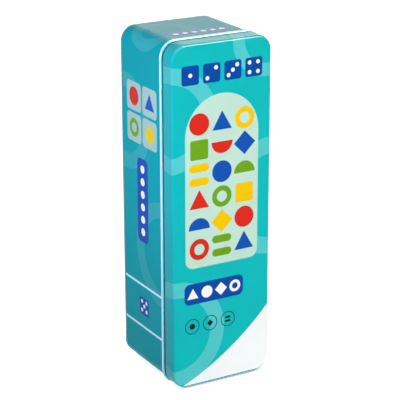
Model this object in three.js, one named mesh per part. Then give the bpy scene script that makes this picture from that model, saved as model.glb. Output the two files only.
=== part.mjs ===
// A stacking balance toy in its tin: a slip-lid box of thin sheet metal that
// holds painted wooden sticks, painted wooden cylinders and one wooden die.
// Millimetres, Z up. The tin stands on one short end with its lid towards -Y.

import * as THREE from 'three';
import { RoundedBoxGeometry } from 'three/addons/geometries/RoundedBoxGeometry.js';
import { mergeVertices } from 'three/addons/utils/BufferGeometryUtils.js';

// Tin: outside of the wall, without the bead
const TIN_WIDTH = 74.5;
const TIN_HEIGHT = 240;
const TIN_DEPTH = 72;
const CORNER_RADIUS = 10.6;
const SHEET = 0.3;
const SHEET_FIT = 0.3;

// Stop bead that the lid is pushed down to
const BEAD_RADIUS = 1.1;
const BEAD_RISE = 1.4;
const BEAD_TO_FRONT = 14.5;

// Curled mouth at the end of the neck
const MOUTH_CURL_RADIUS = 0.5;
const MOUTH_CURL_TAIL = 0.6;
const MOUTH_TO_LID = 0.5;

// Lid
const LID_PROUD = 0.4;
const LID_EDGE_RADIUS = 1.4;
const LID_TO_BEAD = 1.8;
const LID_HEM_RADIUS = 0.25;
const LID_HEM_LENGTH = 2.5;

// Sunken base panel, seamed round the back edge of the wall
const BASE_RECESS = 3;
const BASE_BEND_RADIUS = 1;
const BASE_SEAM_LENGTH = 1.5;

// Wooden pieces
const STICK_COUNT = 20;
const STICK_LENGTH = 106;
const STICK_SIDE = 10;
const STICK_CHAMFER = 0.9;
const CYLINDER_COUNT = 20;
const CYLINDER_HEIGHT = 26;
const CYLINDER_DIAMETER = 19;
const CYLINDER_CHAMFER = 0.8;
const DIE_SIDE = 19;
const DIE_EDGE_RADIUS = 3.5;
const PIECE_GAP = 0.4;

// Facets
const CORNER_FACETS = 8;
const BEND_FACETS = 6;
const CYLINDER_FACETS = 20;
const DIE_EDGE_FACETS = 2;
const WELD = 1e-4;

// Colours
const TEAL = 0x12aeb4;
const NATURAL_WOOD = 0xd8b27a;
const PAINTS = [
  { name: 'red', colour: 0xd8231c },
  { name: 'yellow', colour: 0xf4c20d },
  { name: 'blue', colour: 0x1b3a93 },
  { name: 'green', colour: 0x6ea31a },
];

// Places that follow from the sizes. Depths run from the back of the tin to its front.
const TIN_MIDDLE_Z = BEAD_RISE + TIN_HEIGHT / 2;
const BEAD_DEPTH = TIN_DEPTH - BEAD_TO_FRONT;
const LID_HEM_THICKNESS = SHEET + 2 * LID_HEM_RADIUS;
const NECK_INSET = LID_HEM_THICKNESS + SHEET_FIT - LID_PROUD;
const BASE_INSIDE_DEPTH = BASE_RECESS + SHEET;
const SEAM_BEND = SHEET + SHEET_FIT;
const SEAM_LINE = -SHEET / 2 - SEAM_BEND;
const SEAM_DEPTH = SEAM_BEND + SHEET / 2;
const SEAM_END = BASE_SEAM_LENGTH + SHEET_FIT;

// A rounded rectangle round the tin, moved outwards by an offset, at one depth.
function tinRing(offset, depth) {
  const radius = CORNER_RADIUS + offset;
  const centreX = TIN_WIDTH / 2 - CORNER_RADIUS;
  const centreZ = TIN_HEIGHT / 2 - CORNER_RADIUS;
  const corners = [[1, 1], [-1, 1], [-1, -1], [1, -1]];
  const ring = [];
  corners.forEach(([sideX, sideZ], corner) => {
    for (let step = 0; step <= CORNER_FACETS; step += 1) {
      const angle = (corner + step / CORNER_FACETS) * Math.PI / 2;
      const x = sideX * centreX + radius * Math.cos(angle);
      const z = TIN_MIDDLE_Z + sideZ * centreZ + radius * Math.sin(angle);
      ring.push(new THREE.Vector3(x, TIN_DEPTH / 2 - depth, z));
    }
  });
  return ring;
}

// The two sides of a sheet whose middle line is a path of (offset, depth) points.
function sheetSides(path) {
  const points = path.getPoints(BEND_FACETS / 2);
  const line = points.filter((point, index) => index === 0 || point.distanceTo(points[index - 1]) > WELD);
  const left = [];
  const right = [];
  line.forEach((point, index) => {
    const isFirst = index === 0;
    const isLast = index === line.length - 1;
    const before = isFirst ? point : line[index - 1];
    const after = isLast ? point : line[index + 1];
    const arriving = point.clone().sub(before).normalize();
    const leaving = after.clone().sub(point).normalize();
    const along = arriving.clone().add(leaving).normalize();
    const across = new THREE.Vector2(-along.y, along.x);
    const straight = isFirst ? leaving : arriving;
    const reach = SHEET / 2 / along.dot(straight);
    left.push(point.clone().addScaledVector(across, reach));
    right.push(point.clone().addScaledVector(across, -reach));
  });
  return { left, right };
}

// A skin over successive rings of points, closed by its last ring or by a flat end at each side.
function skinRings(rings, isLoop) {
  const size = rings[0].length;
  const points = rings.flat();
  const triangles = [];
  const bands = isLoop ? rings.length : rings.length - 1;
  for (let band = 0; band < bands; band += 1) {
    const near = band * size;
    const far = ((band + 1) % rings.length) * size;
    for (let index = 0; index < size; index += 1) {
      const next = (index + 1) % size;
      triangles.push(near + index, far + index, far + next);
      triangles.push(near + index, far + next, near + next);
    }
  }
  if (!isLoop) {
    const lastRing = (rings.length - 1) * size;
    const firstCentre = points.push(middleOf(rings[0])) - 1;
    const lastCentre = points.push(middleOf(rings[rings.length - 1])) - 1;
    for (let index = 0; index < size; index += 1) {
      const next = (index + 1) % size;
      triangles.push(firstCentre, index, next);
      triangles.push(lastCentre, lastRing + next, lastRing + index);
    }
  }
  const geometry = new THREE.BufferGeometry().setFromPoints(points);
  geometry.setIndex(triangles);
  return geometry;
}

function middleOf(ring) {
  const middle = new THREE.Vector3();
  ring.forEach((point) => middle.add(point));
  return middle.divideScalar(ring.length);
}

// A sheet bent along a path and carried round the tin. A panel closes the start of the path.
function bentSheet(path, hasPanel) {
  const { left, right } = sheetSides(path);
  const section = [...left, ...right.reverse()];
  const rings = section.map((point) => tinRing(point.x, point.y));
  return skinRings(rings, !hasPanel);
}

// The wall: set in at the back so that the seam lies flush, then straight, out over the stop bead,
// in to the neck, and curled at the mouth.
function tinWall() {
  const wallLine = -SHEET / 2;
  const neckLine = wallLine - NECK_INSET;
  const beadCentre = BEAD_RISE - BEAD_RADIUS;
  const beadBend = BEAD_RADIUS - SHEET / 2;
  const mouth = TIN_DEPTH - SHEET - MOUTH_TO_LID - SHEET / 2 - MOUTH_CURL_RADIUS;
  const path = new THREE.Path();
  path.moveTo(SEAM_LINE, SEAM_DEPTH);
  path.lineTo(SEAM_LINE, SEAM_END);
  path.lineTo(wallLine, SEAM_END + SEAM_BEND);
  path.lineTo(wallLine, BEAD_DEPTH - beadBend);
  path.lineTo(beadCentre, BEAD_DEPTH - beadBend);
  path.absarc(beadCentre, BEAD_DEPTH, beadBend, -Math.PI / 2, Math.PI / 2, false);
  path.lineTo(neckLine, BEAD_DEPTH + beadBend);
  path.lineTo(neckLine, mouth);
  path.absarc(neckLine - MOUTH_CURL_RADIUS, mouth, MOUTH_CURL_RADIUS, 0, Math.PI, false);
  path.lineTo(neckLine - 2 * MOUTH_CURL_RADIUS, mouth - MOUTH_CURL_TAIL);
  return bentSheet(path, false);
}

// The lid: a flat panel with a rounded edge, and a skirt whose rim is folded back inside.
function tinLid() {
  const skirtLine = LID_PROUD - SHEET / 2;
  const edgeBend = LID_EDGE_RADIUS - SHEET / 2;
  const edgeCentre = LID_PROUD - LID_EDGE_RADIUS;
  const rim = BEAD_DEPTH + BEAD_RADIUS + LID_TO_BEAD;
  const fold = rim + SHEET / 2 + LID_HEM_RADIUS;
  const path = new THREE.Path();
  path.moveTo(edgeCentre, TIN_DEPTH - SHEET / 2);
  path.absarc(edgeCentre, TIN_DEPTH - LID_EDGE_RADIUS, edgeBend, Math.PI / 2, 0, true);
  path.lineTo(skirtLine, fold);
  path.absarc(skirtLine - LID_HEM_RADIUS, fold, LID_HEM_RADIUS, 0, -Math.PI, true);
  path.lineTo(skirtLine - 2 * LID_HEM_RADIUS, rim + LID_HEM_LENGTH);
  return bentSheet(path, true);
}

// The base: a panel sunk into the back of the wall and folded round the wall's back edge.
function tinBase() {
  const innerLine = SEAM_LINE - SEAM_BEND;
  const outerLine = SEAM_LINE + SEAM_BEND;
  const panelLine = BASE_RECESS + SHEET / 2;
  const bendOffset = innerLine - BASE_BEND_RADIUS;
  const bendDepth = panelLine - BASE_BEND_RADIUS;
  const path = new THREE.Path();
  path.moveTo(bendOffset, panelLine);
  path.absarc(bendOffset, bendDepth, BASE_BEND_RADIUS, Math.PI / 2, 0, true);
  path.lineTo(innerLine, SEAM_DEPTH);
  path.absarc(SEAM_LINE, SEAM_DEPTH, SEAM_BEND, Math.PI, 2 * Math.PI, false);
  path.lineTo(outerLine, BASE_SEAM_LENGTH);
  return bentSheet(path, true);
}

// A square stick that stands on its end, with every edge chamfered.
function stick() {
  const half = STICK_SIDE / 2 - STICK_CHAMFER;
  const square = new THREE.Shape();
  square.moveTo(-half, -half - STICK_CHAMFER);
  square.lineTo(half, -half - STICK_CHAMFER);
  square.lineTo(half + STICK_CHAMFER, -half);
  square.lineTo(half + STICK_CHAMFER, half);
  square.lineTo(half, half + STICK_CHAMFER);
  square.lineTo(-half, half + STICK_CHAMFER);
  square.lineTo(-half - STICK_CHAMFER, half);
  square.lineTo(-half - STICK_CHAMFER, -half);
  square.closePath();
  const geometry = new THREE.ExtrudeGeometry(square, {
    depth: STICK_LENGTH - 2 * STICK_CHAMFER,
    bevelSize: STICK_CHAMFER,
    bevelOffset: -STICK_CHAMFER,
    bevelThickness: STICK_CHAMFER,
    bevelSegments: 1,
  });
  return geometry.translate(0, 0, STICK_CHAMFER);
}

// A short round peg that stands on its end, with both rims chamfered.
function cylinder() {
  const radius = CYLINDER_DIAMETER / 2;
  const profile = [
    new THREE.Vector2(0, 0),
    new THREE.Vector2(radius - CYLINDER_CHAMFER, 0),
    new THREE.Vector2(radius, CYLINDER_CHAMFER),
    new THREE.Vector2(radius, CYLINDER_HEIGHT - CYLINDER_CHAMFER),
    new THREE.Vector2(radius - CYLINDER_CHAMFER, CYLINDER_HEIGHT),
    new THREE.Vector2(0, CYLINDER_HEIGHT),
  ];
  return new THREE.LatheGeometry(profile, CYLINDER_FACETS).rotateX(Math.PI / 2);
}

function die() {
  const geometry = new RoundedBoxGeometry(DIE_SIDE, DIE_SIDE, DIE_SIDE, DIE_EDGE_FACETS, DIE_EDGE_RADIUS);
  return geometry.translate(0, 0, DIE_SIDE / 2);
}

// The welded surface of a geometry, without triangles that have shrunk to a line, facing out.
function closedSurface(geometry) {
  const bare = geometry.clone();
  bare.deleteAttribute('normal');
  bare.deleteAttribute('uv');
  const welded = mergeVertices(bare, WELD);
  const corners = welded.index.array;
  const position = welded.attributes.position;
  const triangles = [];
  let volume = 0;
  for (let start = 0; start < corners.length; start += 3) {
    const [a, b, c] = corners.slice(start, start + 3);
    if (a !== b && b !== c && c !== a) {
      triangles.push([a, b, c]);
      const [pointA, pointB, pointC] = [a, b, c].map(
        (corner) => new THREE.Vector3().fromBufferAttribute(position, corner));
      volume += pointA.dot(pointB.cross(pointC));
    }
  }
  const facingOut = volume > 0 ? triangles : triangles.map(([a, b, c]) => [a, c, b]);
  welded.setIndex(facingOut.flat());
  welded.computeVertexNormals();
  return welded;
}

const group = new THREE.Group();
group.name = 'stacking_balance_toy';

function addPiece(name, geometry, look, place = [0, 0, 0]) {
  const mesh = new THREE.Mesh(closedSurface(geometry), new THREE.MeshStandardMaterial(look));
  mesh.name = name;
  mesh.position.set(...place);
  group.add(mesh);
}

// How many pieces of one size, with their gaps, go into a length.
function fitInto(length, size) {
  return Math.floor((length + PIECE_GAP) / (size + PIECE_GAP));
}

// The middle of one of several pieces set side by side about zero.
function sideBySide(index, count, size) {
  return (index - (count - 1) / 2) * (size + PIECE_GAP);
}

// Tin
const printedTin = { color: TEAL, metalness: 0.4, roughness: 0.3 };
addPiece('tin_wall', tinWall(), printedTin);
addPiece('tin_base', tinBase(), printedTin);
addPiece('tin_lid', tinLid(), printedTin);

// Room for the wooden pieces: the flat floor, as far forward as the bead
const floorZ = BEAD_RISE + SHEET + PIECE_GAP;
const ceilingZ = BEAD_RISE + TIN_HEIGHT - SHEET - PIECE_GAP;
const backY = TIN_DEPTH / 2 - BASE_INSIDE_DEPTH - PIECE_GAP;
const roomDepth = BEAD_DEPTH - BEAD_RADIUS - BASE_INSIDE_DEPTH - 2 * PIECE_GAP;
const floorWidth = TIN_WIDTH - 2 * CORNER_RADIUS;
const mouthWidth = TIN_WIDTH - 2 * (NECK_INSET + SHEET + 2 * MOUTH_CURL_RADIUS + PIECE_GAP);

// Sticks, standing on the floor of the tin
const stickColumns = fitInto(floorWidth, STICK_SIDE);
const stickRows = Math.min(fitInto(roomDepth, STICK_SIDE), Math.ceil(STICK_COUNT / stickColumns));
const stickTotal = Math.min(STICK_COUNT, stickColumns * stickRows);
for (let index = 0; index < stickTotal; index += 1) {
  const column = index % stickColumns;
  const row = Math.floor(index / stickColumns);
  const paint = PAINTS[index % PAINTS.length];
  const x = sideBySide(column, stickColumns, STICK_SIDE);
  const y = backY - STICK_SIDE / 2 - row * (STICK_SIDE + PIECE_GAP);
  addPiece(`${paint.name}_stick_${index + 1}`, stick(), { color: paint.colour, roughness: 0.5 }, [x, y, floorZ]);
}

// Cylinders and the die, standing on the sticks
const cellSide = Math.max(CYLINDER_DIAMETER, DIE_SIDE);
const cellHeight = Math.max(CYLINDER_HEIGHT, DIE_SIDE);
const cellColumns = fitInto(mouthWidth, cellSide);
const cellRows = fitInto(stickRows * (STICK_SIDE + PIECE_GAP), cellSide);
const cellsPerTier = cellColumns * cellRows;
const firstTierZ = floorZ + STICK_LENGTH + PIECE_GAP;
const cellTotal = cellsPerTier * fitInto(ceilingZ - firstTierZ, cellHeight);
const cylinderTotal = Math.min(CYLINDER_COUNT, cellTotal - 1);

function cellPlace(index) {
  const tier = Math.floor(index / cellsPerTier);
  const row = cellRows - 1 - Math.floor((index % cellsPerTier) / cellColumns);
  const x = sideBySide(index % cellColumns, cellColumns, cellSide);
  const y = backY - cellSide / 2 - row * (cellSide + PIECE_GAP);
  return [x, y, firstTierZ + tier * (cellHeight + PIECE_GAP)];
}

for (let index = 0; index < cylinderTotal; index += 1) {
  const paint = PAINTS[index % PAINTS.length];
  const name = `${paint.name}_cylinder_${index + 1}`;
  addPiece(name, cylinder(), { color: paint.colour, roughness: 0.5 }, cellPlace(index));
}
addPiece('wooden_die', die(), { color: NATURAL_WOOD, roughness: 0.7 }, cellPlace(cylinderTotal));

export default group;
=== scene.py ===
"""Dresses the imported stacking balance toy: the printed tin, and the wooden pieces that it holds.

Lengths are millimetres and become metres where a mesh is made. A place on the tin is an offset outwards from
the wall's outside and a depth from the back of the tin. Heights on the print start at the tin's lower end.
"""

import math

import bmesh
import bpy
from mathutils import Matrix, Quaternion, Vector
from mathutils.geometry import delaunay_2d_cdt


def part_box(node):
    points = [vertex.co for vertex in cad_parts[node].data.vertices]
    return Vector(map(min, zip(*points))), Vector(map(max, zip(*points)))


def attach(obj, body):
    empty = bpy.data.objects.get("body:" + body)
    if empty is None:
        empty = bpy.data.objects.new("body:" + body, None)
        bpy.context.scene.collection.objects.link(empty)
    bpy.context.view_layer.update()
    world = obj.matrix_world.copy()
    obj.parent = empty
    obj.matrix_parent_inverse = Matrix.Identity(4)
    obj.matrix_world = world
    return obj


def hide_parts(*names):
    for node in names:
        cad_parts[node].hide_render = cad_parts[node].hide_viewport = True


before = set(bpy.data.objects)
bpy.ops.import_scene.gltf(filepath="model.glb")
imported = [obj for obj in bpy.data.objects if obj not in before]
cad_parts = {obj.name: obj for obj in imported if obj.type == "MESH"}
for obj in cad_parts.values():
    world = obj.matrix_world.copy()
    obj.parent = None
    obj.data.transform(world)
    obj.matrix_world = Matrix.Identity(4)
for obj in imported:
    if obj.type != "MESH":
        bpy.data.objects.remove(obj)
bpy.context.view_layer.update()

MM = 0.001

# Tin
TIN_WIDTH = 74.5
TIN_HEIGHT = 240
TIN_DEPTH = 72
CORNER_RADIUS = 10.6
SHEET = 0.3
SHEET_FIT = 0.3
BEAD_RADIUS = 1.1
BEAD_RISE = 1.4
BEAD_TO_FRONT = 14.5
MOUTH_CURL_RADIUS = 0.5
MOUTH_CURL_TAIL = 0.6
MOUTH_TO_LID = 0.5
LID_PROUD = 0.4
LID_EDGE_RADIUS = 1.4
LID_TO_BEAD = 1.8
LID_HEM_RADIUS = 0.25
LID_HEM_LENGTH = 2.5
BASE_RECESS = 3
BASE_BEND_RADIUS = 1
BASE_SEAM_LENGTH = 1.5
NECK_BLEED = 4

# Wooden pieces
STICK_EDGE_RADIUS = 0.9
CYLINDER_EDGE_RADIUS = 0.8
DIE_EDGE_RADIUS = 3.5
PIP_RADIUS = 1.5
PIP_SPACING = 4
PIP_SLOPE = 0.5
PIP_DEPTH = 0.4

# Facets
CORNER_FACETS = 24
LID_EDGE_FACETS = 10
BEND_FACETS = 10
WOOD_EDGE_FACETS = 5
CIRCLE_POINTS = 64
GUARD = 0.5
CUT_EPSILON = 1e-3
TRIANGLES_INSIDE = 1
MERGE = 5e-3
SHARP_ANGLE = 40

# Places that follow from the sizes
CORE_X = TIN_WIDTH / 2 - CORNER_RADIUS
CORE_Z = TIN_HEIGHT / 2 - CORNER_RADIUS
QUARTER = CORNER_RADIUS * math.pi / 2
OUTLINE_LENGTH = 4 * (CORE_X + CORE_Z + QUARTER)
MIDDLE_Z = BEAD_RISE + TIN_HEIGHT / 2
BEAD_DEPTH = TIN_DEPTH - BEAD_TO_FRONT
NECK_INSET = SHEET + 2 * LID_HEM_RADIUS + SHEET_FIT - LID_PROUD
SEAM_BEND = SHEET + SHEET_FIT
SEAM_DEPTH = SEAM_BEND + SHEET / 2
SEAM_LINE = -SHEET / 2 - SEAM_BEND
SEAM_END = BASE_SEAM_LENGTH + SHEET_FIT
PANEL_EDGE = LID_PROUD - LID_EDGE_RADIUS
LID_RIM = BEAD_DEPTH + BEAD_RADIUS + LID_TO_BEAD
LID_FOLD = LID_RIM + SHEET / 2 + LID_HEM_RADIUS
LID_BEND_LENGTH = LID_EDGE_RADIUS * math.pi / 2
LID_REACH = PANEL_EDGE + LID_BEND_LENGTH + TIN_DEPTH - LID_EDGE_RADIUS - LID_FOLD

# Inks and paints, as sRGB
INKS = {
    "teal": (18, 188, 187),
    "light_teal": (84, 203, 201),
    # The skirt inks are teal and light_teal made darker: painted shade on the lid's sideways skirt and hem
    "skirt_teal": (30, 172, 168),
    "skirt_light_teal": (78, 185, 180),
    # The side inks are teal, light_teal and mint made darker: painted shade on the tin's wall and base,
    # which face away from the front
    "side_teal": (0, 161, 163),
    "side_shaded_light_teal": (56, 168, 170),
    "side_shaded_mint": (178, 197, 184),
    "mint": (196, 228, 208),
    "white": (250, 251, 249),
    "pale_blue": (216, 250, 255),
    "deep_blue": (8, 74, 160),
    "red": (222, 44, 30),
    "yellow": (250, 200, 8),
    "blue": (20, 84, 176),
    "green": (112, 166, 30),
    "black": (30, 34, 38),
}
INK_GLOSS = 0.04
SIDE_GLOSS = 0.015
EDGE_GLOSS = 0.6
EDGE_INKS = ("teal", "light_teal", "pale_blue")
PAINTS = {
    "red": (206, 30, 24),
    "yellow": (244, 190, 14),
    "blue": (22, 58, 140),
    "green": (98, 150, 26),
}
PIP_PAINT = (34, 28, 26)
TINPLATE_COLOUR = (205, 208, 208)
WOOD_DARK = (176, 128, 74)
WOOD_LIGHT = (224, 184, 128)
RAMP_ENDS = (0.3, 0.7)

# Print
LID_PATTERN = (
    ("disc red", "triangle blue", "ring yellow"),
    ("square green", "bowl red", "diamond blue"),
    ("bars yellow", "disc blue", "dome green"),
    ("triangle red", "ring green", "square yellow"),
    ("dome blue", "diamond yellow", "disc red"),
    ("ring red", "bars green", "triangle blue"),
)
SIDE_PATTERN = (
    ("disc red", "triangle blue"),
    ("ring green", "diamond yellow"),
)
BAR_PATTERN = (("triangle white", "disc white", "diamond white", "ring white"),)
PIP_TILE = 13
STRIPE_HALF_WIDTH = 0.88

# Camera, in metres and degrees, and light, in watts
CAMERA_AZIMUTH = -29.9
CAMERA_ELEVATION = 18.94
CAMERA_ROLL = -0.07
CAMERA_DISTANCE = 1.1036
CAMERA_LENS = 144
CAMERA_TARGET = Vector((0.00383, 0, 0.12106))
FRONT_AMBIENT = 0.2
BACK_AMBIENT = 0.42
FLOOR_BOUNCE = 0.54
FLOOR_GLOW = 0.42
# As it is seen, a little warm against the teal light that the tin throws on it
FLOOR_COLOUR = (2, 1.72, 1.69, 1)
LIGHTS = {
    "key_light": dict(
        place=(0.85, -1.65, 0.55),
        target=(0, 0, 0.12),
        size=0.6,
        power=27.3,
        colour=(1, 0.96, 0.93),
        spread=180,
    ),
    "left_light": dict(
        place=(-0.46, -0.15, 0.33),
        target=(-0.03, 0, 0.17),
        size=0.16,
        power=0.325,
        colour=(0.56, 0.73, 1),
        spread=60,
    ),
    "rear_light": dict(
        place=(0.75, 1.31, 0.76),
        target=(0, 0, 0.12),
        size=1,
        power=4.4,
        colour=(1, 1, 1),
        spread=180,
    ),
}


def linear(colour):
    """An sRGB colour of 0 to 255 as linear red, green, blue and alpha."""
    parts = [part / 255 for part in colour]
    return (*(p / 12.92 if p <= 0.04045 else ((p + 0.055) / 1.055) ** 2.4 for p in parts), 1)


# Materials

def new_material(name):
    material = bpy.data.materials.new(name)
    material.use_nodes = True
    return material, material.node_tree.nodes, material.node_tree.links


def noise_node(nodes, links, scale, detail=3, stretch=(1, 1, 1)):
    """Noise over the object's own coordinates, in features per metre along each axis."""
    coordinates = nodes.new("ShaderNodeTexCoord")
    mapping = nodes.new("ShaderNodeMapping")
    mapping.inputs["Scale"].default_value = [scale * part for part in stretch]
    noise = nodes.new("ShaderNodeTexNoise")
    noise.inputs["Scale"].default_value = 1
    noise.inputs["Detail"].default_value = detail
    links.new(coordinates.outputs["Object"], mapping.inputs["Vector"])
    links.new(mapping.outputs["Vector"], noise.inputs["Vector"])
    return noise.outputs["Fac"]


def vary_colour(nodes, links, source, low, high, target):
    """Feeds a colour that runs from low to high with the source."""
    ramp = nodes.new("ShaderNodeValToRGB")
    for element, position, colour in zip(ramp.color_ramp.elements, RAMP_ENDS, (low, high)):
        element.position = position
        element.color = colour
    links.new(source, ramp.inputs["Fac"])
    links.new(ramp.outputs["Color"], target)


def vary_value(nodes, links, source, low, high, target):
    """Feeds a number that runs from low to high with the source."""
    span = nodes.new("ShaderNodeMapRange")
    span.inputs["To Min"].default_value = low
    span.inputs["To Max"].default_value = high
    links.new(source, span.inputs["Value"])
    links.new(span.outputs["Result"], target)


def add_bump(nodes, links, source, distance, target):
    bump = nodes.new("ShaderNodeBump")
    bump.inputs["Strength"].default_value = 1
    bump.inputs["Distance"].default_value = distance * MM
    links.new(source, bump.inputs["Height"])
    links.new(bump.outputs["Normal"], target)


def shaded(colour, factor):
    return (*(part * factor for part in colour[:3]), 1)


def ink_material(name, colour, gloss):
    """Printing ink under varnish on thin sheet metal, which is never quite flat."""
    material, nodes, links = new_material(name)
    shader = nodes["Principled BSDF"]
    cloud = noise_node(nodes, links, 30)
    varnish = noise_node(nodes, links, 120)
    waves = noise_node(nodes, links, 25, detail=1)
    vary_colour(nodes, links, cloud, shaded(colour, 0.97), shaded(colour, 1.03), shader.inputs["Base Color"])
    vary_value(nodes, links, varnish, 0.14, 0.2, shader.inputs["Roughness"])
    add_bump(nodes, links, waves, 0.06, shader.inputs["Normal"])
    shader.inputs["Specular IOR Level"].default_value = gloss
    return material


def tinplate_material():
    """Bare rolled tinplate, with faint lines along the rolling direction."""
    material, nodes, links = new_material("bare_tinplate")
    shader = nodes["Principled BSDF"]
    rolling = noise_node(nodes, links, 900, detail=4, stretch=(1, 1, 0.02))
    bright = linear(TINPLATE_COLOUR)
    vary_colour(nodes, links, rolling, shaded(bright, 0.88), bright, shader.inputs["Base Color"])
    vary_value(nodes, links, rolling, 0.24, 0.4, shader.inputs["Roughness"])
    add_bump(nodes, links, rolling, 0.004, shader.inputs["Normal"])
    shader.inputs["Metallic"].default_value = 1
    return material


def painted_wood_material(name, colour):
    """Paint that has sunk into wood a little, so that the grain along the piece still shows."""
    material, nodes, links = new_material(name)
    shader = nodes["Principled BSDF"]
    grain = noise_node(nodes, links, 700, detail=4, stretch=(1, 1, 0.04))
    vary_colour(nodes, links, grain, shaded(colour, 0.86), shaded(colour, 1.06), shader.inputs["Base Color"])
    vary_value(nodes, links, grain, 0.38, 0.52, shader.inputs["Roughness"])
    add_bump(nodes, links, grain, 0.06, shader.inputs["Normal"])
    return material


def natural_wood_material():
    """Sanded beech with darker growth lines."""
    material, nodes, links = new_material("natural_wood")
    shader = nodes["Principled BSDF"]
    grain = noise_node(nodes, links, 420, detail=5, stretch=(1, 1, 0.06))
    vary_colour(nodes, links, grain, linear(WOOD_DARK), linear(WOOD_LIGHT), shader.inputs["Base Color"])
    vary_value(nodes, links, grain, 0.5, 0.65, shader.inputs["Roughness"])
    add_bump(nodes, links, grain, 0.05, shader.inputs["Normal"])
    return material


INK_MATERIALS = {}
for ink, ink_colour in INKS.items():
    ink_gloss = SIDE_GLOSS if ink.startswith("side_") else INK_GLOSS
    INK_MATERIALS[ink] = ink_material("ink_" + ink, linear(ink_colour), ink_gloss)
for ink in EDGE_INKS:
    INK_MATERIALS["edge_" + ink] = ink_material("ink_edge_" + ink, linear(INKS[ink]), EDGE_GLOSS)
PAINT_MATERIALS = {}
for paint, paint_colour in PAINTS.items():
    PAINT_MATERIALS[paint] = painted_wood_material("paint_" + paint, linear(paint_colour))
PIP_MATERIAL = painted_wood_material("paint_pips", linear(PIP_PAINT))
TINPLATE = tinplate_material()
NATURAL_WOOD = natural_wood_material()
SHEET_MATERIALS = [*INK_MATERIALS.values(), TINPLATE]
SHEET_INDEX = {name: index for index, name in enumerate([*INK_MATERIALS, "tinplate"])}


# Figures of the print, as lines of points

def on_circle(x, y, radius, degrees):
    """The point of a circle at an angle."""
    angle = math.radians(degrees)
    return (x + radius * math.cos(angle), y + radius * math.sin(angle))


def regular(x, y, radius, sides, turn=0):
    """A regular figure with its first corner turned up from the x direction, in degrees."""
    return [on_circle(x, y, radius, turn + 360 * side / sides) for side in range(sides)]


def disc(x, y, radius):
    return regular(x, y, radius, CIRCLE_POINTS)


def half_disc(x, y, radius, turn):
    """Half a disc whose flat side starts at an angle, in degrees."""
    count = CIRCLE_POINTS // 2
    return [on_circle(x, y, radius, turn + 180 * step / count) for step in range(count + 1)]


def arc(x, y, radius, start, end):
    """Points of an arc from one angle to another, in degrees."""
    angles = [start + (end - start) * step / BEND_FACETS for step in range(BEND_FACETS + 1)]
    return [Vector(on_circle(x, y, radius, angle)) for angle in angles]


def rounded_box(left, low, right, high, *radii):
    """A rectangle with rounded corners, of one radius or of an upper and a lower one."""
    upper = radii[0]
    lower = radii[-1]
    corners = (
        (right - upper, high - upper, upper, 0),
        (left + upper, high - upper, upper, 90),
        (left + lower, low + lower, lower, 180),
        (right - lower, low + lower, lower, 270),
    )
    steps = CIRCLE_POINTS // 4
    points = []
    for x, y, radius, start in corners:
        for step in range(steps + 1):
            point = on_circle(x, y, radius, start + 90 * step / steps)
            if not points or math.dist(point, points[-1]) > CUT_EPSILON:
                points.append(point)
    if math.dist(points[0], points[-1]) < CUT_EPSILON:
        points.pop()
    return points


def motif(kind, x, y, size):
    """The lines of one small figure about a point. A second line inside the first is a hole.

    The factors make figures of one size look equally large.
    """
    half = size / 2
    if kind == "disc":
        return [disc(x, y, half)]
    if kind == "ring":
        return [disc(x, y, half), disc(x, y, half * 0.52)]
    if kind == "square":
        return [rounded_box(x - half * 0.9, y - half * 0.9, x + half * 0.9, y + half * 0.9, size * 0.08)]
    if kind == "diamond":
        return [regular(x, y, half * 1.1, 4)]
    if kind == "triangle":
        return [regular(x, y - half * 0.2, half * 1.15, 3, 90)]
    if kind == "bowl":
        return [half_disc(x, y + half * 0.45, half * 1.08, 180)]
    if kind == "dome":
        return [half_disc(x, y - half * 0.45, half * 1.08, 0)]
    bar = half * 0.72
    return [
        rounded_box(x - half, y + half - bar, x + half, y + half, bar / 2),
        rounded_box(x - half, y - half, x + half, y - half + bar, bar / 2),
    ]


def pips(ink, x, y, count, spacing, radius):
    """Dots set out as on a die."""
    places = {
        1: [(0, 0)],
        2: [(-1, -1), (1, 1)],
        3: [(-1, -1), (0, 0), (1, 1)],
        4: [(-1, -1), (-1, 1), (1, -1), (1, 1)],
        5: [(-1, -1), (-1, 1), (0, 0), (1, -1), (1, 1)],
        6: [(-1, -1), (-1, 0), (-1, 1), (1, -1), (1, 0), (1, 1)],
    }
    return [(ink, [disc(x + spacing * across, y + spacing * up, radius)]) for across, up in places[count]]


def pip_tile(x, y, size, count):
    """A rounded blue tile with white dots set out as on a die."""
    half = size / 2
    tile = rounded_box(x - half, y - half, x + half, y + half, size * 0.14)
    return [("deep_blue", [tile]), *pips("white", x, y, count, size * 0.25, size * 0.11)]


def row_of_dots(ink, x, y, count, pitch, radius, upright=False):
    """A straight row of dots about a point."""
    steps = [(index - (count - 1) / 2) * pitch for index in range(count)]
    places = [(x, y + step) if upright else (x + step, y) for step in steps]
    return [(ink, [disc(*place, radius)]) for place in places]


def ring(ink, x, y, radius, width):
    return (ink, [disc(x, y, radius), disc(x, y, radius - width)])


def pattern(rows, x, y, pitch, size):
    """Rows of small figures about a point, from the top down."""
    shapes = []
    for down, row in enumerate(rows):
        for across, words in enumerate(row):
            kind, ink = words.split()
            figure_x = x + (across - (len(row) - 1) / 2) * pitch
            figure_y = y - (down - (len(rows) - 1) / 2) * pitch
            shapes.append((ink, motif(kind, figure_x, figure_y, size)))
    return shapes


def white_corner():
    """The plain lower corner, under a wide arc that runs on round the lid's right bend."""
    centre = (-103.4, 175.8)
    radius = 189.3
    start = -67.4
    end = -30.3
    low = 1.1
    past_bend = 60
    return [*arc(*centre, radius, start, end), (past_bend, low)]


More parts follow.
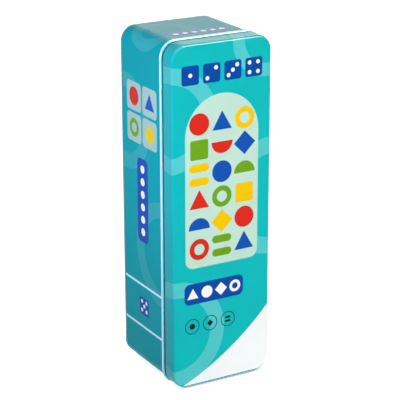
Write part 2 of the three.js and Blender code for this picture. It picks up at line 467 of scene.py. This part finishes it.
def lid_print():
    """The lid's print, across and up from the middle of its lower end."""
    shapes = [
        ring("light_teal", 40, 128, 42, 12),
        ring("light_teal", -40, 190, 36, 11),
        ring("light_teal", -36, 40, 38, 11),
        ring("light_teal", 34, 238, 26, 9),
        ("mint", [rounded_box(-28, 86, 28, 205, 28, 6)]),
        *pattern(LID_PATTERN, 0, 142.5, 17.4, 15),
        ("deep_blue", [rounded_box(-29, 60, 17, 75, 4)]),
        *pattern(BAR_PATTERN, -6, 67.5, 11, 8.6),
        ("white", [white_corner()]),
    ]
    tile_height = 219.5
    for index, x in enumerate((-24, -8, 8, 24)):
        shapes += pip_tile(x, tile_height, PIP_TILE, index + 1)
    sign_height = 44
    for x, kind in ((-23, "disc"), (-9, "diamond"), (5, "bars")):
        shapes.append(ring("black", x, sign_height, 5.6, 0.6))
        shapes.append(("black", motif(kind, x, sign_height, 4.4)))
    return shapes


def stripe(height):
    """A plain stripe from the back of the wall to the bead."""
    past = 1
    low = height - STRIPE_HALF_WIDTH
    high = height + STRIPE_HALF_WIDTH
    return [(-past, low), (TIN_DEPTH, low), (TIN_DEPTH, high), (-past, high)]


def side_print():
    """One long side's print, by depth and height."""
    middle = 29.5
    tiles_height = 184.5
    pitch = 22
    half = 10
    # Painted shade: the wall's rings and tiles take the darker side copies of the lid's inks
    shapes = [
        ring("side_shaded_light_teal", 6, 176, 34, 11),
        ring("side_shaded_light_teal", 58, 92, 38, 11),
    ]
    for x in (middle - pitch / 2, middle + pitch / 2):
        for y in (tiles_height - pitch / 2, tiles_height + pitch / 2):
            shapes.append(("side_shaded_mint", [rounded_box(x - half, y - half, x + half, y + half, 3)]))
    return [
        *shapes,
        *pattern(SIDE_PATTERN, middle, tiles_height, pitch, 13),
        ("deep_blue", [rounded_box(22, 94, 37, 154, 4)]),
        *row_of_dots("white", middle, 124, 6, 9, 2.8, upright=True),
        *pip_tile(middle, 46.3, PIP_TILE, 5),
        ("pale_blue", [stripe(61.9)]),
        ("pale_blue", [stripe(30.7)]),
    ]


def end_print():
    """The upper end's print, across and by depth."""
    return [
        # Painted shade: the darker side copy of light_teal
        ring("side_shaded_light_teal", -20, 30, 24, 9),
        ("deep_blue", [rounded_box(-24, 37, 24, 46, 3)]),
        *row_of_dots("white", 0, 41.5, 6, 7, 2),
    ]


def base_print():
    """The base's print, across and up from the middle of its lower end."""
    return [
        # Painted shade: the darker side copy of light_teal
        ring("side_shaded_light_teal", 4, 186, 27, 9),
        ring("side_shaded_light_teal", -4, 118, 24, 8),
        ring("side_shaded_light_teal", 2, 52, 28, 9),
    ]


# Where the figures go on the lid, and on the unrolled wall, which starts at the middle of its lower end

def on_right_side(depth, height):
    return (CORE_X + QUARTER + height - CORNER_RADIUS, depth)


def on_upper_end(across, depth):
    return (2 * CORE_X + 2 * QUARTER + 2 * CORE_Z - across, depth)


def on_left_side(depth, height):
    return (3 * CORE_X + 3 * QUARTER + 4 * CORE_Z + CORNER_RADIUS - height, depth)


def on_lid(across, height):
    return (across, height - TIN_HEIGHT / 2)


def placed(shapes, place):
    return [(ink, [[place(*point) for point in line] for line in lines]) for ink, lines in shapes]


def runs_anticlockwise(line):
    """Whether a closed line runs anticlockwise."""
    following = [*line[1:], line[0]]
    return sum(x * after_y - after_x * y for (x, y), (after_x, after_y) in zip(line, following)) > 0


def cut_print(outer, lines, shapes, ground):
    """Cuts a flat area along its facet lines and its printed figures.

    Returns its points by number, and its faces as (corners, ink).
    """
    points = []
    edges = []
    polygons = []
    owners = []

    def add_polygon(line, owner):
        corners = range(len(points), len(points) + len(line))
        polygons.append(list(corners if runs_anticlockwise(line) else reversed(corners)))
        owners.append(owner)
        points.extend(Vector(point) for point in line)

    add_polygon(outer, None)
    for number, (_, figure_lines) in enumerate(shapes):
        for line in figure_lines:
            add_polygon(line, number)
    for line in lines:
        first = len(points)
        points.extend(Vector(point) for point in line)
        edges.extend((first + step, first + step + 1) for step in range(len(line) - 1))
    cut = delaunay_2d_cdt(points, edges, polygons, TRIANGLES_INSIDE, CUT_EPSILON)
    cut_points, _, cut_faces, _, _, sources = cut
    faces = []
    for corners, source in zip(cut_faces, sources):
        if 0 not in source:
            continue
        ink = ground
        for number, (name, _) in enumerate(shapes):
            if sum(owners[polygon] == number for polygon in source) % 2:
                ink = name
        faces.append((corners, ink))
    used = {index for corners, _ in faces for index in corners}
    return {index: cut_points[index] for index in used}, faces


# Bent sheets carried round the tin

def outline_at(length):
    """The core point and the outward direction at a length along the tin's outline."""
    point = Vector((0, -CORE_Z))
    along = Vector((1, 0))
    outward = Vector((0, -1))
    turn_left = Matrix.Rotation(math.pi / 2, 2)
    for straight in (CORE_X, 2 * CORE_Z, 2 * CORE_X, 2 * CORE_Z, CORE_X):
        if length <= straight:
            return point + along * length, outward
        point = point + along * straight
        length -= straight
        if length <= QUARTER:
            return point, Matrix.Rotation(length / CORNER_RADIUS, 2) @ outward
        length -= QUARTER
        along = turn_left @ along
        outward = turn_left @ outward
    return point, outward


def outline_lengths():
    """Where the outline has a facet line: at the bends' facets, and close beside the bends on the flats."""
    lengths = [0]
    position = 0
    for straight in (CORE_X, 2 * CORE_Z, 2 * CORE_X, 2 * CORE_Z):
        lengths.append(position + straight - GUARD)
        position += straight
        lengths.extend(position + QUARTER * step / CORNER_FACETS for step in range(CORNER_FACETS + 1))
        position += QUARTER
        lengths.append(position + GUARD)
    return lengths


def tin_point(core, outward, offset, depth):
    """A place on the tin, in metres."""
    flat = core + outward * (CORNER_RADIUS + offset)
    return Vector((flat.x, TIN_DEPTH / 2 - depth, MIDDLE_Z + flat.y)) * MM


def sheet_sides(path):
    """The left and right side of a sheet whose middle line is a path of (offset, depth) points."""
    left = []
    right = []
    for index, point in enumerate(path):
        arriving = (point - path[index - 1]).normalized() if index else None
        leaving = (path[index + 1] - point).normalized() if index + 1 < len(path) else arriving
        arriving = arriving or leaving
        along = (arriving + leaving).normalized()
        reach = Vector((-along.y, along.x)) * (SHEET / 2 / along.dot(arriving))
        left.append(point + reach)
        right.append(point - reach)
    return left, right


class Sheet:
    """A mesh of bent tinplate in the making."""

    def __init__(self):
        self.mesh = bmesh.new()

    def ring(self, stations, place):
        """A ring of points at one (offset, depth) place."""
        return [self.mesh.verts.new(tin_point(core, outward, *place)) for core, outward in stations]

    def face(self, corners, ink):
        face = self.mesh.faces.new(corners)
        face.material_index = SHEET_INDEX[ink]
        face.smooth = True

    def band(self, near, far, ink):
        for index in range(len(near)):
            after = (index + 1) % len(near)
            self.face((near[index], far[index], far[after], near[after]), ink)

    def sweep(self, ring, stations, places, ink_at):
        """Carries a ring on through further places. Returns the last ring."""
        for place in places:
            following = self.ring(stations, place)
            self.band(ring, following, ink_at(place))
            ring = following
        return ring

    def finish(self, name, node, body):
        """Turns the mesh into the piece that stands for a CAD node."""
        bmesh.ops.remove_doubles(self.mesh, verts=self.mesh.verts, dist=MERGE * MM)
        bmesh.ops.recalc_face_normals(self.mesh, faces=self.mesh.faces)
        used = sorted({face.material_index for face in self.mesh.faces})
        for face in self.mesh.faces:
            face.material_index = used.index(face.material_index)
        new_piece(name, self.mesh, [SHEET_MATERIALS[index] for index in used], node, body)


def new_piece(name, made, materials, node, body, place=(0, 0, 0)):
    """A piece from a bmesh, smooth apart from its sharp edges, riding on a body in place of a CAD node."""
    data = bpy.data.meshes.new(name)
    made.to_mesh(data)
    made.free()
    for material in materials:
        data.materials.append(material)
    data.shade_smooth()
    data.set_sharp_from_angle(angle=math.radians(SHARP_ANGLE))
    piece = bpy.data.objects.new(name, data)
    piece.location = place
    bpy.context.scene.collection.objects.link(piece)
    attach(piece, body)
    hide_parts(node)


def unfold_lid(point):
    """The core point, outward direction, offset and depth on the lid of a point of its flat print."""
    core = Vector((max(-CORE_X, min(CORE_X, point.x)), max(-CORE_Z, min(CORE_Z, point.y))))
    away = point - core
    length = away.length
    outward = away / length if length > CUT_EPSILON else Vector((0, 1))
    offset = length - CORNER_RADIUS
    if offset <= PANEL_EDGE:
        return core, outward, offset, TIN_DEPTH
    bend = offset - PANEL_EDGE
    if bend <= LID_BEND_LENGTH:
        angle = bend / LID_EDGE_RADIUS
        out = PANEL_EDGE + LID_EDGE_RADIUS * math.sin(angle)
        return core, outward, out, TIN_DEPTH - LID_EDGE_RADIUS * (1 - math.cos(angle))
    return core, outward, LID_PROUD, TIN_DEPTH - LID_EDGE_RADIUS - (bend - LID_BEND_LENGTH)


def lid_ring(offset):
    """A rounded rectangle on the lid's flat print."""
    centres = ((CORE_X, CORE_Z), (-CORE_X, CORE_Z), (-CORE_X, -CORE_Z), (CORE_X, -CORE_Z))
    radius = CORNER_RADIUS + offset
    points = []
    for corner, (x, y) in enumerate(centres):
        for step in range(CORNER_FACETS + 1):
            angle = (corner + step / CORNER_FACETS) * math.pi / 2
            points.append((x + radius * math.cos(angle), y + radius * math.sin(angle)))
    return points


def lid_ink(ink, places):
    """The ink of a face of the lid: glossier on the upper bend, and darker on the skirt, where a darker copy
    of the ink is painted shade.
    """
    lowest = min(depth for _, _, _, depth in places)
    if ink == "white" or lowest > TIN_DEPTH - MERGE:
        return ink
    # Painted shade: the sideways skirt takes darker copies of the lid's inks
    if lowest < TIN_DEPTH - LID_EDGE_RADIUS - MERGE:
        return "skirt_" + ink
    steep = 0.5
    is_upper = all(outward.y > steep for _, outward, _, _ in places)
    return "edge_" + ink if is_upper else ink


def make_lid():
    bends = [PANEL_EDGE + LID_BEND_LENGTH * step / LID_EDGE_FACETS for step in range(LID_EDGE_FACETS + 1)]
    offsets = [PANEL_EDGE - GUARD, *bends, bends[-1] + GUARD, LID_REACH]
    rings = [lid_ring(offset) for offset in offsets]
    lines = [[*line, line[0]] for line in rings[:-1]]
    lines += list(zip(*rings[1:]))
    points, faces = cut_print(rings[-1], lines, placed(lid_print(), on_lid), "teal")

    sheet = Sheet()
    unfolded = {index: unfold_lid(point) for index, point in points.items()}
    corners = {index: sheet.mesh.verts.new(tin_point(*place)) for index, place in unfolded.items()}
    for face, ink in faces:
        places = [unfolded[index] for index in face]
        sheet.face([corners[index] for index in face], lid_ink(ink, places))
    rim = [index for index, place in unfolded.items() if place[3] < LID_FOLD + MERGE]
    rim.sort(key=lambda index: math.atan2(points[index].y, points[index].x))
    stations = [unfolded[index][:2] for index in rim]

    skirt = LID_PROUD - SHEET / 2
    bend_radius = LID_EDGE_RADIUS - SHEET / 2
    path = [
        *arc(PANEL_EDGE, TIN_DEPTH - LID_EDGE_RADIUS, bend_radius, 90, 0),
        *arc(skirt - LID_HEM_RADIUS, LID_FOLD, LID_HEM_RADIUS, 0, -180),
        Vector((skirt - 2 * LID_HEM_RADIUS, LID_RIM + LID_HEM_LENGTH)),
    ]
    outside, inside = sheet_sides(path)

    def hem_ink(place):
        # Painted shade: the hem's outside takes the skirt's darker copy of the teal
        return "skirt_teal" if place.x > 0 and place.y < LID_FOLD else "tinplate"

    # The printed faces end where the hem starts to fold
    hem = outside[BEND_FACETS + 2:]
    start = [corners[index] for index in rim]
    last = sheet.sweep(start, stations, [*hem, *reversed(inside)], hem_ink)
    sheet.face(last, "tinplate")
    sheet.finish("printed_lid", "tin_lid", "lid")


def merged(values):
    """Sorted values, with those that differ by a rounding error taken as one."""
    kept = []
    for value in sorted(values):
        if not kept or value - kept[-1] > MERGE:
            kept.append(value)
    return kept


def make_wall():
    wall = -SHEET / 2
    neck = wall - NECK_INSET
    bead = BEAD_RISE - BEAD_RADIUS
    bead_bend = BEAD_RADIUS - SHEET / 2
    mouth = TIN_DEPTH - SHEET - MOUTH_TO_LID - SHEET / 2 - MOUTH_CURL_RADIUS
    path = [
        Vector((SEAM_LINE, SEAM_DEPTH)),
        Vector((SEAM_LINE, SEAM_END)),
        Vector((wall, SEAM_END + SEAM_BEND)),
        Vector((wall, BEAD_DEPTH - bead_bend)),
        *arc(bead, BEAD_DEPTH, bead_bend, -90, 90),
        Vector((neck, BEAD_DEPTH + bead_bend)),
        Vector((neck, BEAD_DEPTH + BEAD_RADIUS + NECK_BLEED)),
        *arc(neck - MOUTH_CURL_RADIUS, mouth, MOUTH_CURL_RADIUS, 0, 180),
        Vector((neck - 2 * MOUTH_CURL_RADIUS, mouth - MOUTH_CURL_TAIL)),
    ]
    inside, outside = sheet_sides(path)
    low = outside[2].y
    foot = outside[3].y

    shapes = [
        *placed(side_print(), on_left_side),
        *placed(side_print(), on_right_side),
        *placed(end_print(), on_upper_end),
    ]
    # The second pass gives both edges every point that the print has put on either
    lengths = outline_lengths()
    for _ in range(2):
        ends = sorted({*lengths, OUTLINE_LENGTH})
        outer = [(length, low) for length in ends] + [(length, foot) for length in reversed(ends)]
        lines = [((length, low), (length, foot)) for length in outline_lengths()]
        # Painted shade: the wall's ground is the darker side copy of the teal
        points, faces = cut_print(outer, lines, shapes, "side_teal")
        edge = [point for point in points.values() if min(point.y - low, foot - point.y) < MERGE]
        lengths = merged([point.x for point in edge if point.x < OUTLINE_LENGTH - GUARD])

    sheet = Sheet()
    corners = {}
    for index, point in points.items():
        corners[index] = sheet.mesh.verts.new(tin_point(*outline_at(point.x), 0, point.y))
    for face, ink in faces:
        sheet.face([corners[index] for index in face], ink)

    stations = [outline_at(length) for length in lengths]
    start = sheet.ring(stations, outside[3])

    def bead_ink(place):
        if place.x > bead - MERGE and place.y < BEAD_DEPTH + BEAD_RADIUS + MERGE:
            return "edge_pale_blue"
        # Painted shade: the bead's foot and the neck take the darker side copy of the teal
        return "side_teal" if place.y < BEAD_DEPTH + BEAD_RADIUS + NECK_BLEED + MERGE else "tinplate"

    on_outside = sheet.sweep(start, stations, outside[4:], bead_ink)
    sheet.sweep(on_outside, stations, [*reversed(inside), *outside[:3]], lambda place: "tinplate")
    sheet.finish("printed_wall", "tin_wall", "tin")


def make_base():
    inner = SEAM_LINE - SEAM_BEND
    panel = BASE_RECESS + SHEET / 2
    path = [
        *arc(inner - BASE_BEND_RADIUS, panel - BASE_BEND_RADIUS, BASE_BEND_RADIUS, 90, 0),
        *arc(SEAM_LINE, SEAM_DEPTH, SEAM_BEND, 180, 360),
        Vector((SEAM_LINE + SEAM_BEND, BASE_SEAM_LENGTH)),
    ]
    inside, outside = sheet_sides(path)
    stations = [outline_at(length) for length in outline_lengths()]
    sheet = Sheet()
    edge = [core + outward * (CORNER_RADIUS + outside[0].x) for core, outward in stations]
    # Painted shade: the base's outside takes the darker side copy of the teal
    points, faces = cut_print(edge, [], placed(base_print(), on_lid), "side_teal")
    corners = {}
    for index, point in points.items():
        corners[index] = sheet.mesh.verts.new(tin_point(point, Vector((0, 0)), 0, outside[0].y))
    for face, ink in faces:
        sheet.face([corners[index] for index in face], ink)
    first = sheet.ring(stations, outside[0])
    seam_edge = sheet.sweep(first, stations, outside[1:], lambda place: "side_teal")
    last = sheet.sweep(seam_edge, stations, reversed(inside), lambda place: "tinplate")
    sheet.face(last, "tinplate")
    sheet.finish("base_sheet", "tin_base", "tin")


# Wooden pieces, each the size of its CAD node and in its place

def rounded_block(size, radius):
    """A block about the origin with rounded edges."""
    block = bmesh.new()
    bmesh.ops.create_cube(block, size=1)
    bmesh.ops.scale(block, vec=size, verts=block.verts)
    bmesh.ops.bevel(
        block,
        geom=block.edges[:],
        offset=radius * MM,
        segments=WOOD_EDGE_FACETS,
        profile=0.5,
        affect="EDGES",
    )
    return block


def rounded_cylinder(size, radius):
    """An upright cylinder about the origin with rounded rims."""
    body = bmesh.new()
    half_width = size.x / 2
    half_height = size.z / 2
    edge = radius * MM
    profile = []
    for step in range(WOOD_EDGE_FACETS + 1):
        degrees = 90 * (1 - step / WOOD_EDGE_FACETS)
        profile.append(on_circle(half_width - edge, half_height - edge, edge, degrees))
    profile += [(width, -height) for width, height in reversed(profile)]
    rings = []
    for width, height in profile:
        circle = regular(0, 0, width, CIRCLE_POINTS)
        rings.append([body.verts.new((x, y, height)) for x, y in circle])
    for near, far in zip(rings, rings[1:]):
        for index in range(CIRCLE_POINTS):
            after = (index + 1) % CIRCLE_POINTS
            body.faces.new((near[index], far[index], far[after], near[after]))
    body.faces.new(rings[0])
    body.faces.new(reversed(rings[-1]))
    return body


def make_wooden_pieces():
    for node in sorted(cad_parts):
        colour, _, kind = node.partition("_")
        if colour not in PAINTS:
            continue
        low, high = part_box(node)
        if kind.startswith("stick"):
            made = rounded_block(high - low, STICK_EDGE_RADIUS)
        else:
            made = rounded_cylinder(high - low, CYLINDER_EDGE_RADIUS)
        materials = [PAINT_MATERIALS[colour]]
        new_piece("painted_" + node, made, materials, node, "tin", (low + high) / 2)


def make_die():
    """A die with shallow painted dents for pips, in which opposite faces add up to seven."""
    low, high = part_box("wooden_die")
    made = rounded_block(high - low, DIE_EDGE_RADIUS)
    flat_side = (high.x - low.x) / MM - 2 * DIE_EDGE_RADIUS
    outer = regular(0, 0, flat_side / math.sqrt(2), 4, 45)
    almost_flat_area = 0.9 * (flat_side * MM) ** 2
    sides = [face for face in made.faces if face.calc_area() > almost_flat_area]
    counts = {(0, 0, 1): 1, (0, 0, -1): 6, (1, 0, 0): 2, (-1, 0, 0): 5, (0, 1, 0): 3, (0, -1, 0): 4}
    dents = []
    for side in sides:
        normal = side.normal.copy()
        turn = normal.to_track_quat("Z", "Y")
        middle = side.calc_center_median()
        count = counts[tuple(round(part) for part in normal)]
        points, faces = cut_print(outer, [], pips("pip", 0, 0, count, PIP_SPACING, PIP_RADIUS), "wood")
        corners = {}
        for index, point in points.items():
            corners[index] = made.verts.new(middle + turn @ Vector((*point, 0)) * MM)
        for face, ink in faces:
            cut = made.faces.new([corners[index] for index in face])
            cut.material_index = int(ink == "pip")
            if ink == "pip":
                dents.append(cut)
    bmesh.ops.delete(made, geom=sides, context="FACES_ONLY")
    bmesh.ops.remove_doubles(made, verts=made.verts, dist=MERGE * MM)
    bmesh.ops.recalc_face_normals(made, faces=made.faces)
    bmesh.ops.inset_region(made, faces=dents, thickness=PIP_SLOPE * MM, depth=-PIP_DEPTH * MM)
    materials = [NATURAL_WOOD, PIP_MATERIAL]
    new_piece("marked_die", made, materials, "wooden_die", "tin", (low + high) / 2)


# Stage, light and camera

def larger(nodes, links, first, second):
    """The larger of two numbers."""
    node = nodes.new("ShaderNodeMath")
    node.operation = "MAXIMUM"
    links.new(first, node.inputs[0])
    links.new(second, node.inputs[1])
    return node.outputs["Value"]


def seen_rays(nodes, links):
    """One for what is seen straight, mirrored or through something, and none for what lights the object."""
    rays = nodes.new("ShaderNodeLightPath")
    unbent = larger(nodes, links, rays.outputs["Is Camera Ray"], rays.outputs["Is Glossy Ray"])
    return larger(nodes, links, unbent, rays.outputs["Is Transmission Ray"])


def make_floor():
    """A plain floor that keeps the shadow. It is white where it is seen, and lights the object less."""
    reach = 6
    corners = [(-reach, -reach, 0), (reach, -reach, 0), (reach, reach, 0), (-reach, reach, 0)]
    data = bpy.data.meshes.new("floor")
    data.from_pydata(corners, [], [(0, 1, 2, 3)])
    material, nodes, links = new_material("floor")
    shader = nodes["Principled BSDF"]
    shader.inputs["Roughness"].default_value = 0.9
    shader.inputs["Specular IOR Level"].default_value = 0
    shader.inputs["Emission Color"].default_value = (1, 1, 1, 1)
    seen = seen_rays(nodes, links)
    bounce = shaded((1, 1, 1), FLOOR_BOUNCE)
    vary_colour(nodes, links, seen, bounce, FLOOR_COLOUR, shader.inputs["Base Color"])
    vary_value(nodes, links, seen, 0, FLOOR_GLOW, shader.inputs["Emission Strength"])
    data.materials.append(material)
    floor = bpy.data.objects.new("floor", data)
    bpy.context.scene.collection.objects.link(floor)
    return floor


def make_world():
    """A surround that is white where it is seen, and lights the object less, least of all from the front."""
    world = bpy.data.worlds.new("studio")
    world.use_nodes = True
    nodes = world.node_tree.nodes
    links = world.node_tree.links
    background = nodes["Background"]
    background.inputs["Color"].default_value = (1, 1, 1, 1)
    coordinates = nodes.new("ShaderNodeTexCoord")
    axes = nodes.new("ShaderNodeSeparateXYZ")
    ambient = nodes.new("ShaderNodeMapRange")
    ambient.inputs["From Min"].default_value = -1
    ambient.inputs["To Min"].default_value = FRONT_AMBIENT
    ambient.inputs["To Max"].default_value = BACK_AMBIENT
    links.new(coordinates.outputs["Generated"], axes.inputs["Vector"])
    links.new(axes.outputs["Y"], ambient.inputs["Value"])
    strength = larger(nodes, links, ambient.outputs["Result"], seen_rays(nodes, links))
    links.new(strength, background.inputs["Strength"])
    bpy.context.scene.world = world


def make_softbox(name, place, target, size, power, colour, spread):
    """A square soft light that faces a point. The spread, in degrees, is how wide its beam is."""
    light = bpy.data.lights.new(name, "AREA")
    light.size = size
    light.energy = power
    light.color = colour
    light.spread = math.radians(spread)
    softbox = bpy.data.objects.new(name, light)
    softbox.location = place
    softbox.rotation_euler = (Vector(target) - Vector(place)).to_track_quat("-Z", "Y").to_euler()
    bpy.context.scene.collection.objects.link(softbox)
    return softbox


def keep_off(light, item):
    """Leaves an item out of what a light shines on."""
    left_out = bpy.data.collections.new(item.name + "_left_out")
    left_out.objects.link(item)
    left_out.collection_objects[0].light_linking.link_state = "EXCLUDE"
    light.light_linking.receiver_collection = left_out


def make_camera():
    azimuth = math.radians(CAMERA_AZIMUTH)
    elevation = math.radians(CAMERA_ELEVATION)
    level = math.cos(elevation)
    back = Vector((math.sin(azimuth) * level, -math.cos(azimuth) * level, math.sin(elevation)))
    data = bpy.data.cameras.new("camera")
    data.lens = CAMERA_LENS
    camera = bpy.data.objects.new("camera", data)
    camera.location = CAMERA_TARGET + back * CAMERA_DISTANCE
    camera.rotation_mode = "QUATERNION"
    roll = Quaternion((0, 0, 1), math.radians(CAMERA_ROLL))
    camera.rotation_quaternion = (-back).to_track_quat("-Z", "Y") @ roll
    bpy.context.scene.collection.objects.link(camera)
    bpy.context.scene.camera = camera


make_lid()
make_wall()
make_base()
make_wooden_pieces()
make_die()
floor = make_floor()
make_world()
softboxes = {name: make_softbox(name, **values) for name, values in LIGHTS.items()}
keep_off(softboxes["key_light"], floor)
make_camera()
bpy.context.scene.view_settings.view_transform = "Standard"
